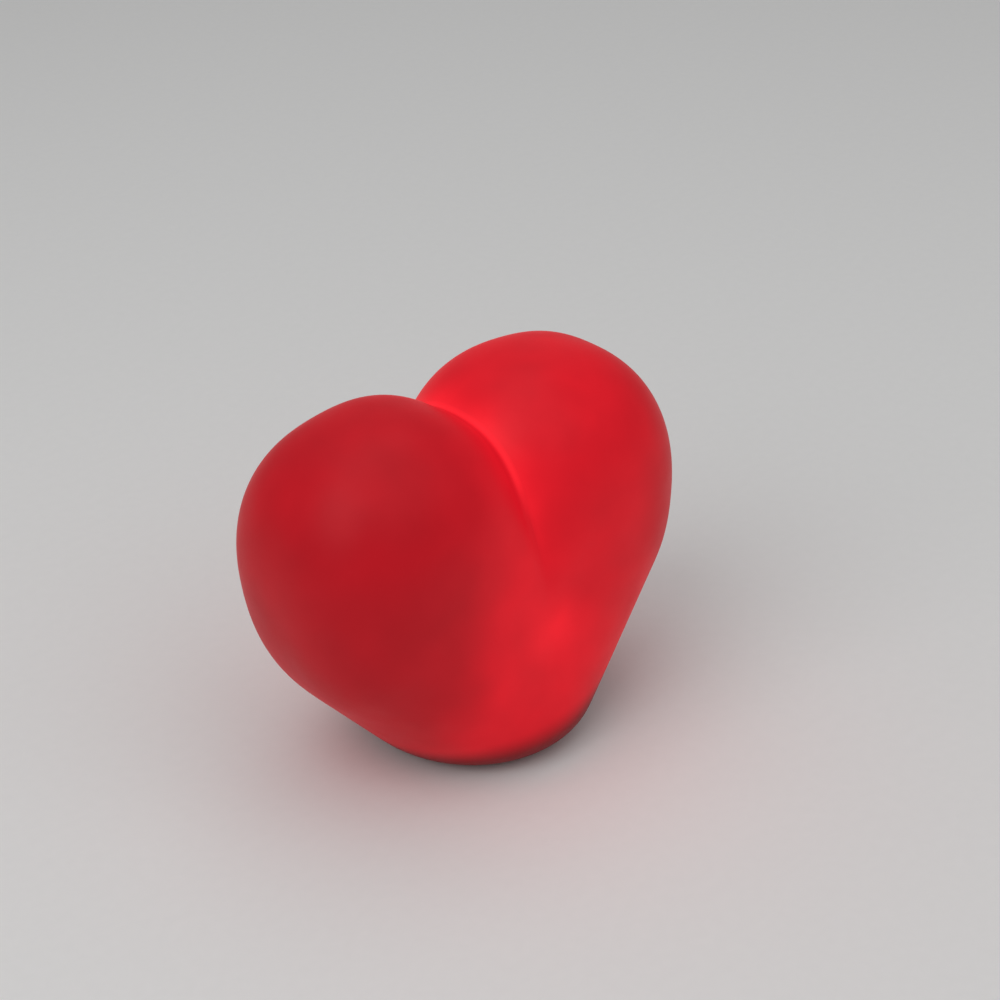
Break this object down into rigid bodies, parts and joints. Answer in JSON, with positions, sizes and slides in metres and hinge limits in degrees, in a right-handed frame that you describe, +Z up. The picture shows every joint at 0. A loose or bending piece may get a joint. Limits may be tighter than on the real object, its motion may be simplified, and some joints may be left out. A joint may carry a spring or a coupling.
{
  "type": "heart-shaped mood light",
  "caption": "Battery mood light: a plump heart of soft glowing vinyl over a round plug-in base with LED, slide switch and battery door.",
  "frame": {"origin": "middle of the footprint, on the surface that the base rim stands on", "axes": "+X across the heart from lobe to lobe, +Y from the front face to the back, +Z up"},
  "size_m": [0.1092, 0.0632, 0.0899],
  "materials": {
    "red_vinyl": "satin soft PVC, glowing red from inside",
    "white_plastic": "fine moulded texture",
    "black_plastic": "satin",
    "screw_steel": "bright zinc plating",
    "contact_nickel": "nickel-plated spring strip",
    "cell_steel": "nickel-plated, spun",
    "board_laminate": "green solder mask over glass-fibre laminate",
    "led_epoxy": "clear red epoxy, lit",
    "red_insulation": "PVC insulation"
  },
  "bodies": {
    "lamp": {"heart_shell": "red_vinyl", "base_plate": "white_plastic", "puck_housing": "white_plastic", "base_screw_1": "screw_steel", "base_screw_2": "screw_steel", "base_screw_3": "screw_steel", "battery_holder": "white_plastic", "button_cell_1": "cell_steel", "button_cell_2": "cell_steel", "button_cell_3": "cell_steel", "positive_contact": "contact_nickel", "negative_contact": "contact_nickel", "negative_spring": "contact_nickel", "circuit_board": "board_laminate", "board_screw_1": "screw_steel", "board_screw_2": "screw_steel", "controller_chip": "black_plastic", "resistor": "black_plastic", "led_lens": "led_epoxy", "led_lead_1": "contact_nickel", "led_lead_2": "contact_nickel", "switch_body": "black_plastic", "switch_wire_red": "red_insulation", "switch_wire_black": "black_plastic"},
    "switch": {"switch_knob": "black_plastic"},
    "door": {"battery_door": "white_plastic"},
    "screw": {"door_screw": "screw_steel"}
  },
  "joints": [
    {"name": "switch_slide", "type": "slide", "parent": "lamp", "child": "switch", "axis": [1, 0, 0], "range_m": [-0.002, 0]},
    {"name": "door_hinge", "type": "hinge", "parent": "lamp", "child": "door", "pos_m": [-0.0123, 0, 0.0008], "axis": [0, 1, 0], "range_deg": [0, 80]},
    {"name": "screw_travel", "type": "slide", "parent": "door", "child": "screw", "axis": [0, 0, -1], "range_m": [0, 0.004]}
  ]
}
